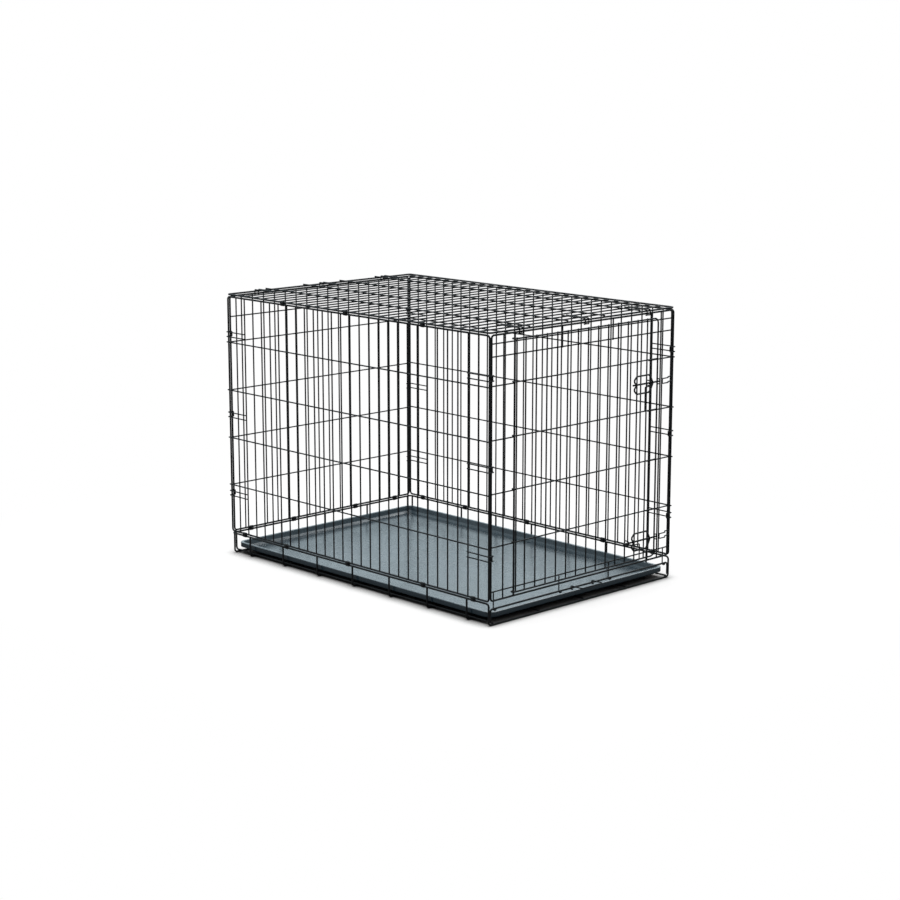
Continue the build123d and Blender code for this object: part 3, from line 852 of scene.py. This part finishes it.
class CRATE_OT_hooks(bpy.types.Operator):
    """Make the hairpin hooks that hold the end panels, and the front panel's hinge hooks"""

    bl_idname = "crate.hooks"
    bl_label = "Hooks"

    def execute(self, context):
        radius, half = wires().hook_wire / 2, wires().hook_spread / 2
        bend, tip_bend = wires().hook_bend, wires().tip_bend
        bends = [0, bend, tip_bend, tip_bend, tip_bend, tip_bend, bend, 0]
        for side, inward in (("left", 1), ("right", -1)):
            node = f"{side}_corner_hooks"
            near_x, far_x = span(node, X, radius)[::inward]
            routes = []
            for start, front, tip in self.reaches(node, radius):
                leg = [(near_x, start), (near_x, front), (far_x, front), (far_x, tip)]
                routes += [hairpin((X, Y, Z), leg, z, half, bends) for z in CORNER_HOOK_ZS]
            bent_wires(node, "crate", radius, routes)
        under, over = span("top_end_hooks", Z, radius)
        xs = [bays * rear_pitch for bays in TOP_HOOK_BAYS]
        routes = []
        for start, front, tip in self.reaches("top_end_hooks", radius):
            leg = [(start, over), (front, over), (front, under), (tip, under)]
            routes += [hairpin((Y, Z, X), leg, x, -half, bends) for x in xs]
        bent_wires("top_end_hooks", "crate", radius, routes)
        self.hinge_hooks(radius)
        return {"FINISHED"}

    def reaches(self, node, radius):
        """Start, front and tip of the hooks along the crate, at both its ends."""
        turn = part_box(node)[1].y - radius - rear_y
        reach = HOOK_REACH_BAYS * side_pitch
        ends = ((-1, front_y), (1, rear_y))
        return [(y - end * reach, y + end * turn, y - end * HOOK_TIP) for end, y in ends]

    def hinge_hooks(self, radius):
        """Hooks under the front end, curled round the front rail."""
        first, last = span("front_hinge_hooks", X, radius)
        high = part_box("front_hinge_hooks")[1]
        inside = high.y - radius
        turn = inside - pivot_y
        routes = []
        for x in (first, *header_bar_xs(), last):
            curl = eye_arc((x, pivot_y, pivot_z), (0, turn, 0), (0, 0, -turn))
            routes.append(path([(x, inside, high.z), *curl]))
        bent_wires("front_hinge_hooks", "front_end", radius, routes)


class CRATE_OT_clips(bpy.types.Operator):
    """Make the sheet clips that hinge the base, the sides and the top"""

    bl_idname = "crate.clips"
    bl_label = "Sheet clips"

    def execute(self, context):
        side_ys = [rear_y - bays * side_pitch for bays in SIDE_CLIP_BAYS]
        for side in ("left", "right"):
            self.clips(f"{side}_base_clips", X, side_ys)
        self.clips("top_hinge_clips", X, [rear_y - bays * side_pitch for bays in TOP_CLIP_BAYS])
        left_post = rear_xs[0] - rear_pitch
        rear_places = [left_post + bays * rear_pitch for bays in REAR_CLIP_BAYS]
        self.clips("rear_base_clips", Y, rear_places)
        return {"FINISHED"}

    def clips(self, node, normal, places):
        """Clips of one node at their places along a wire."""
        axes = (normal, X + Y - normal, Z)
        depth, height = middle(node, normal), middle(node, Z)
        drawn = bpy.data.meshes.new(node)
        drawn.from_pydata([at(axes, (depth, place, height)) for place in places], [], [])
        right_angle = math.pi / 2
        values = {
            "Ring width": thickness(node, normal) - CLIP_SHEET,
            "Ring height": thickness(node, Z) - CLIP_SHEET,
            "Sheet": CLIP_SHEET,
            "Clip width": CLIP_WIDTH,
            "Turn": (right_angle, 0, 0 if normal == X else right_angle),
        }
        dressed(baked(f"{node}_coated", "Sheet clip", values, drawn), "crate", "clip", node)


class CRATE_OT_door(bpy.types.Operator):
    """Make the door with its curled hinge eyes"""

    bl_idname = "crate.door"
    bl_label = "Door"

    def execute(self, context):
        radius = wires().door_wire / 2
        y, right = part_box("door_frame")[0].y + radius, door_right()
        bottom, top = span("door_frame", Z, radius)
        corners = [(right, y, top), (right, y, bottom)]
        route = eyed(self.eye(y, top), corners, self.eye(y, bottom), wires().door_bend)
        bent_wires("door_frame", "door", radius, [route])
        low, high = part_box("door_rails")
        rail_y = low.y + rail_radius
        routes = [path([(high.x, rail_y, z), *self.eye(rail_y, z)]) for z in door_rail_zs]
        bent_wires("door_rails", "door", rail_radius, routes)
        low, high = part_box("door_bars")
        bar_y = middle("door_bars", Y)
        xs = [door_bay_x(i) for i in range(1, DOOR_BAYS)]
        routes = [upright(x, bar_y, low.z, high.z) for x in (low.x + bar_radius, *xs)]
        bent_wires("door_bars", "door", bar_radius, routes)
        weld_grid("door_rail_welds", "door", {X: xs, Z: door_rail_zs}, (bar_y + rail_y) / 2)
        weld_grid("door_frame_welds", "door", {X: xs, Z: (bottom, top)}, (bar_y + y) / 2)
        return {"FINISHED"}

    def eye(self, y, z):
        """Curled end of a door wire round the hinge post."""
        post_y = middle("front_door_posts", Y)
        turn = post_y - y
        return eye_arc((hinge_x, post_y, z), (0, -turn, 0), (-turn, 0, 0))


class CRATE_OT_latches(bpy.types.Operator):
    """Make both slide bolts with their handles, guides and keepers"""

    bl_idname = "crate.latches"
    bl_label = "Latches"

    def execute(self, context):
        seats = {
            "upper": door_rail_zs[UPPER_REST_RAIL] + rail_radius,
            "lower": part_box("door_frame")[0].z + wires().door_wire,
        }
        for which, rest_seat in seats.items():
            self.bolt(which)
            self.handle(which)
            self.guides(which, rest_seat)
            self.keeper(which)
        return {"FINISHED"}

    def bolt(self, which):
        """Straight bolt."""
        node = f"{which}_latch_bolt"
        route = level(*span(node, X), middle(node, Y), middle(node, Z))
        bent_wires(node, f"{which}_latch", thickness(node, Z) / 2, [route])

    def handle(self, which):
        """Closed loop with cut corners, a nose and a pinched end."""
        node = f"{which}_latch_handle"
        radius = thickness(node, Y) / 2
        y, z = middle(node, Y), middle(node, Z)
        left, right = span(node, X, radius)
        half = thickness(node, Z) / 2 - radius
        cut, bend = HANDLE_CORNER_CUT, wires().handle_bend
        bent_off = bend * (math.hypot(HANDLE_NOSE, half - cut) / (half - cut) - 1)
        nose = right + bent_off
        shoulder = nose - HANDLE_NOSE
        upper = [
            (left, HANDLE_PINCH),
            (left, half - cut),
            (left + cut, half),
            (shoulder - cut, half),
            (shoulder, half - cut),
        ]
        lower = [(x, -height) for x, height in reversed(upper)]
        outline = [(left + HANDLE_PINCH, 0), *upper, (nose, 0), *lower]
        route = path([(x, y, z + height) for x, height in outline], bend, closed=True)
        bent_wires(node, f"{which}_latch", radius, [route])

    def guides(self, which, rest_seat):
        """Two staples round the bolt, and the bracket that its handle rests on."""
        radius, half = wires().hook_wire / 2, wires().hook_spread / 2
        bend = wires().hook_bend
        node = f"{which}_latch_guides"
        bolt_z = middle(f"{which}_latch_bolt", Z)
        bridge_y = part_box(node)[0].y + radius
        bar_face, frame_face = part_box("door_bars")[0].y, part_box("door_frame")[0].y
        staples = ((door_bay_x(GUIDE_BAYS[which]), bar_face), (door_right(), frame_face))
        routes = []
        for x, seat in staples:
            routes.append(hairpin((X, Y, Z), [(x, seat), (x, bridge_y)], bolt_z, half, bend))
        rest_y = bar_face - radius + WELD_SINK
        rest_x = door_right() - REST_FROM_DOOR_EDGE[which]
        left, right = rest_x - REST_WIDTH / 2, rest_x + REST_WIDTH / 2
        rest_z = bolt_z - REST_DROP
        corners = ((left, rest_seat), (left, rest_z), (right, rest_z), (right, rest_seat))
        routes.append(path([(x, rest_y, z) for x, z in corners], bend))
        bent_wires(node, "door", radius, routes)

    def keeper(self, which):
        """Hairpin on the front end, raised where the bolt goes in."""
        radius, half = wires().hook_wire / 2, wires().hook_spread / 2
        node = f"{which}_latch_keeper"
        raised_y, seat_y = span(node, Y, radius)
        low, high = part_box(node)
        bridge_x = low.x + radius
        raised_x = bridge_x + KEEPER_CATCH
        leg = [(high.x, seat_y), (raised_x + KEEPER_RAMP, seat_y)]
        leg += [(raised_x, raised_y), (bridge_x, raised_y)]
        route = hairpin((X, Y, Z), leg, middle(node, Z), half, wires().hook_bend)
        bent_wires(node, "front_end", radius, [route])


class CRATE_OT_pan(bpy.types.Operator):
    """Make the plastic pan"""

    bl_idname = "crate.pan"
    bl_label = "Pan"

    def execute(self, context):
        low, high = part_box("pan")
        foot, rim = low.z, high.z
        step = foot + PAN_STEP_DEPTH
        wall_foot = PAN_LIP + PAN_DRAFT
        floor_edge = wall_foot + PAN_STEP_WIDTH
        section = [
            (floor_edge, foot),
            (wall_foot, step),
            (PAN_LIP, rim - PAN_WALL),
            (PAN_WALL, rim - PAN_WALL),
            (PAN_WALL, rim - PAN_LIP_DROP),
            (0, rim - PAN_LIP_DROP),
            (0, rim),
            (PAN_LIP + PAN_WALL, rim),
            (wall_foot + PAN_WALL, step + PAN_WALL),
            (floor_edge + PAN_WALL, foot + PAN_WALL),
        ]
        work = bmesh.new()
        outlines = [self.outline(low, high, *place) for place in section]
        rings = [[work.verts.new(point) for point in outline] for outline in outlines]
        for ring, following in zip(rings, rings[1:]):
            for i, vert in enumerate(ring):
                j = (i + 1) % len(ring)
                work.faces.new((vert, ring[j], following[j], following[i]))
        work.faces.new(reversed(rings[0]))
        work.faces.new(rings[-1])
        bmesh.ops.recalc_face_normals(work, faces=work.faces)
        bmesh.ops.bevel(
            work,
            geom=[edge for edge in work.edges if edge.calc_face_angle(0) > PAN_EDGE_ANGLE],
            offset=PAN_EDGE_SIZE,
            segments=PAN_EDGE_STEPS,
            profile=PAN_EDGE_PROFILE,
            affect="EDGES",
            clamp_overlap=True,
        )
        mesh = bpy.data.meshes.new("pan_plastic")
        work.to_mesh(mesh)
        work.free()
        mesh.materials.append(pan_material())
        smooth(mesh)
        dressed(new_object("pan_plastic", mesh), "pan", "pan", "pan")
        return {"FINISHED"}

    def outline(self, low, high, inset, z):
        """Rounded rectangle set in from the lip's edge."""
        radius = PAN_CORNER_RADIUS - min(inset, PAN_CORNER_RADIUS / 2)
        x0, x1 = low.x + inset + radius, high.x - inset - radius
        y0, y1 = low.y + inset + radius, high.y - inset - radius
        points = []
        for quarter, (x, y) in enumerate(((x1, y1), (x0, y1), (x0, y0), (x1, y0))):
            for i in range(PAN_CORNER_STEPS + 1):
                angle = (quarter + i / PAN_CORNER_STEPS) * math.pi / 2
                points.append((x + radius * math.cos(angle), y + radius * math.sin(angle), z))
        return points


class CRATE_OT_pan_stop(bpy.types.Operator):
    """Make the swinging stop in front of the pan"""

    bl_idname = "crate.pan_stop"
    bl_label = "Pan stop"

    def execute(self, context):
        radius = wires().hook_wire / 2
        xs = span("pan_stop", X, radius)
        low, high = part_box("pan_stop")
        front, top = low.y + radius, high.z - radius
        turn = top - pivot_z
        left, right = [eye_arc((x, pivot_y, pivot_z), (0, 0, turn), (0, turn, 0)) for x in xs]
        route = eyed(left, [(x, front, top) for x in xs], right, wires().stop_bend)
        bent_wires("pan_stop", "pan_stop", radius, [route])
        return {"FINISHED"}


class CRATE_OT_studio(bpy.types.Operator):
    """Make the floor, the lamps, the white surroundings and the camera"""

    bl_idname = "crate.studio"
    bl_label = "Studio"

    def execute(self, context):
        settings = context.scene.crate_studio
        context.scene.view_settings.view_transform = "Standard"
        centre = Vector((0, (front_y + rear_y) / 2, cad_high.z / 2))
        self.floor(settings)
        self.surroundings(settings)
        self.lamp("Key lamp", settings.key_power, centre + Vector(KEY_PLACE), centre)
        self.lamp("Fill lamp", settings.fill_power, centre + Vector(FILL_PLACE), centre)
        self.camera(settings, centre)
        return {"FINISHED"}

    def floor(self, settings):
        """Pale floor, with painted shade close under the crate, that runs out into plain white."""
        material, tree, surface = shader("Studio floor")
        camera_ray = add(tree, "ShaderNodeLightPath")["Is Camera Ray"]
        inputs = {
            "Value": camera_ray,
            "To Min": settings.bounce_shade,
            "To Max": settings.floor_shade,
        }
        shade = add(tree, "ShaderNodeMapRange", inputs)["Result"]
        # Painted shade: ambient occlusion darkens the floor's colour where the pan and wires are
        # close above it
        inputs = {"Distance": PAINTED_SHADE_REACH}
        occlusion_shade = add(tree, "ShaderNodeAmbientOcclusion", inputs, samples=PAINTED_SHADE_SAMPLES)["AO"]
        painted_shade_tone = reckon(tree, "POWER", occlusion_shade, settings.painted_shade_depth)
        inputs = {
            "Base Color": reckon(tree, "MULTIPLY", shade, painted_shade_tone),
            "Roughness": FLOOR_ROUGHNESS,
            "Specular IOR Level": 0.0,
        }
        feed(tree, surface, inputs)
        distance = self.distance(tree)
        fades = []
        for reach, most in ((LIFT_REACH, settings.floor_lift), (FADE_REACH, 1.0)):
            inputs = {"Value": distance, "From Max": reach, "To Max": most}
            fades.append(self.eased(tree, inputs))
        seen = reckon(tree, "MULTIPLY", reckon(tree, "MAXIMUM", *fades), camera_ray)
        white = add(tree, "ShaderNodeEmission")["Emission"]
        look = mixed(tree, seen, surface.outputs["BSDF"], white)
        feed(tree, tree.nodes["Material Output"], {"Surface": look})
        mesh = bpy.data.meshes.new("studio_floor")
        corners = ((-1, -1), (1, -1), (1, 1), (-1, 1))
        points = [(x * FLOOR_HALF, y * FLOOR_HALF, 0) for x, y in corners]
        mesh.from_pydata(points, [], [(0, 1, 2, 3)])
        mesh.materials.append(material)
        floor = new_object("studio_floor", mesh)
        floor.location.z = -FLOOR_CLEARANCE

    def distance(self, tree):
        """Distance of a place on the floor from the crate's outline."""
        centre = (0, (front_y + rear_y) / 2, 0)
        half_size = (cad_high.x, (rear_y - front_y) / 2, 0)
        steps = [("SUBTRACT", centre), ("ABSOLUTE",)]
        steps += [("SUBTRACT", half_size), ("MAXIMUM", (0, 0, 0))]
        place = add(tree, "ShaderNodeTexCoord")["Object"]
        for operation, *values in steps:
            place = reckon_vector(tree, operation, place, *values)["Vector"]
        return reckon_vector(tree, "LENGTH", place)["Value"]

    def eased(self, tree, inputs):
        """Value that runs smoothly from one range to another."""
        return add(tree, "ShaderNodeMapRange", inputs, interpolation_type="SMOOTHSTEP")["Result"]

    def surroundings(self, settings):
        """White for the camera, even light, and a backdrop and a dim room in the gloss."""
        world = bpy.data.worlds.new("Studio surroundings")
        world.use_nodes = True
        tree = world.node_tree
        rays = add(tree, "ShaderNodeLightPath")
        direction = add(tree, "ShaderNodeTexCoord")["Generated"]
        ahead = (-math.sin(VIEW_AZIMUTH), math.cos(VIEW_AZIMUTH), 0)
        inputs = {
            "Value": reckon_vector(tree, "DOT_PRODUCT", direction, ahead)["Value"],
            "From Min": -BACKDROP_EDGE,
            "From Max": BACKDROP_EDGE,
            "To Min": settings.room_strength,
        }
        inputs = {"Color": (*settings.gloss_colour, 1), "Strength": self.eased(tree, inputs)}
        gloss = add(tree, "ShaderNodeBackground", inputs)["Background"]
        white = add(tree, "ShaderNodeBackground", {"Color": WHITE})["Background"]
        light = tree.nodes["Background"]
        feed(tree, light, {"Color": WHITE, "Strength": settings.sky_strength})
        lit = mixed(tree, rays["Is Glossy Ray"], light.outputs["Background"], gloss)
        look = mixed(tree, rays["Is Camera Ray"], lit, white)
        feed(tree, tree.nodes["World Output"], {"Surface": look})
        bpy.context.scene.world = world

    def lamp(self, name, power, place, target):
        """Square soft lamp that faces a target."""
        data = bpy.data.lights.new(name, "AREA")
        data.energy = power
        data.size = LAMP_SIZE
        lamp = new_object(name, data)
        lamp.location = place
        lamp.rotation_euler = (target - place).to_track_quat("-Z", "Y").to_euler()

    def camera(self, settings, pivot):
        """Camera at the photograph's place."""
        flat = math.cos(VIEW_ELEVATION)
        x, y = math.cos(VIEW_AZIMUTH), math.sin(VIEW_AZIMUTH)
        right = Vector((x, y, 0))
        away = Vector((y * flat, -x * flat, math.sin(VIEW_ELEVATION)))
        up = away.cross(right)
        data = bpy.data.cameras.new("Studio camera")
        data.lens = settings.lens
        data.sensor_width = SENSOR_WIDTH
        data.clip_end = VIEW_END
        camera = new_object("Studio camera", data)
        camera.location = pivot + VIEW_DISTANCE * away + VIEW_RIGHT * right + VIEW_UP * up
        camera.rotation_euler = (-away).to_track_quat("-Z", "Y").to_euler()
        bpy.context.scene.camera = camera


class CRATE_PT_panel(bpy.types.Panel):
    """Sizes, finishes and steps of the crate"""

    bl_idname = "CRATE_PT_panel"
    bl_label = "Wire dog crate"
    bl_space_type = "VIEW_3D"
    bl_region_type = "UI"
    bl_category = "Crate"

    def draw(self, context):
        for name, group in SETTINGS.items():
            for setting in group.__annotations__:
                self.layout.prop(getattr(context.scene, name), setting)
        for operator in OPERATORS:
            self.layout.operator(operator.bl_idname)


SETTINGS = {
    "crate_wires": WireSettings,
    "crate_finish": FinishSettings,
    "crate_studio": StudioSettings,
}
OPERATORS = (
    CRATE_OT_base,
    CRATE_OT_sides,
    CRATE_OT_top,
    CRATE_OT_rear_end,
    CRATE_OT_front_end,
    CRATE_OT_hooks,
    CRATE_OT_clips,
    CRATE_OT_door,
    CRATE_OT_latches,
    CRATE_OT_pan,
    CRATE_OT_pan_stop,
    CRATE_OT_studio,
)


def register():
    for group in SETTINGS.values():
        bpy.utils.register_class(group)
    for cls in (*OPERATORS, CRATE_PT_panel):
        bpy.utils.register_class(cls)
    for name, group in SETTINGS.items():
        setattr(bpy.types.Scene, name, PointerProperty(type=group))


def unregister():
    for name in SETTINGS:
        delattr(bpy.types.Scene, name)
    for cls in (CRATE_PT_panel, *reversed(OPERATORS), *SETTINGS.values()):
        bpy.utils.unregister_class(cls)


def main():
    register()
    bpy.ops.crate.base()
    bpy.ops.crate.sides()
    bpy.ops.crate.top()
    bpy.ops.crate.rear_end()
    bpy.ops.crate.front_end()
    bpy.ops.crate.hooks()
    bpy.ops.crate.clips()
    bpy.ops.crate.door()
    bpy.ops.crate.latches()
    bpy.ops.crate.pan()
    bpy.ops.crate.pan_stop()
    bpy.ops.crate.studio()


if __name__ == "__main__":
    main()
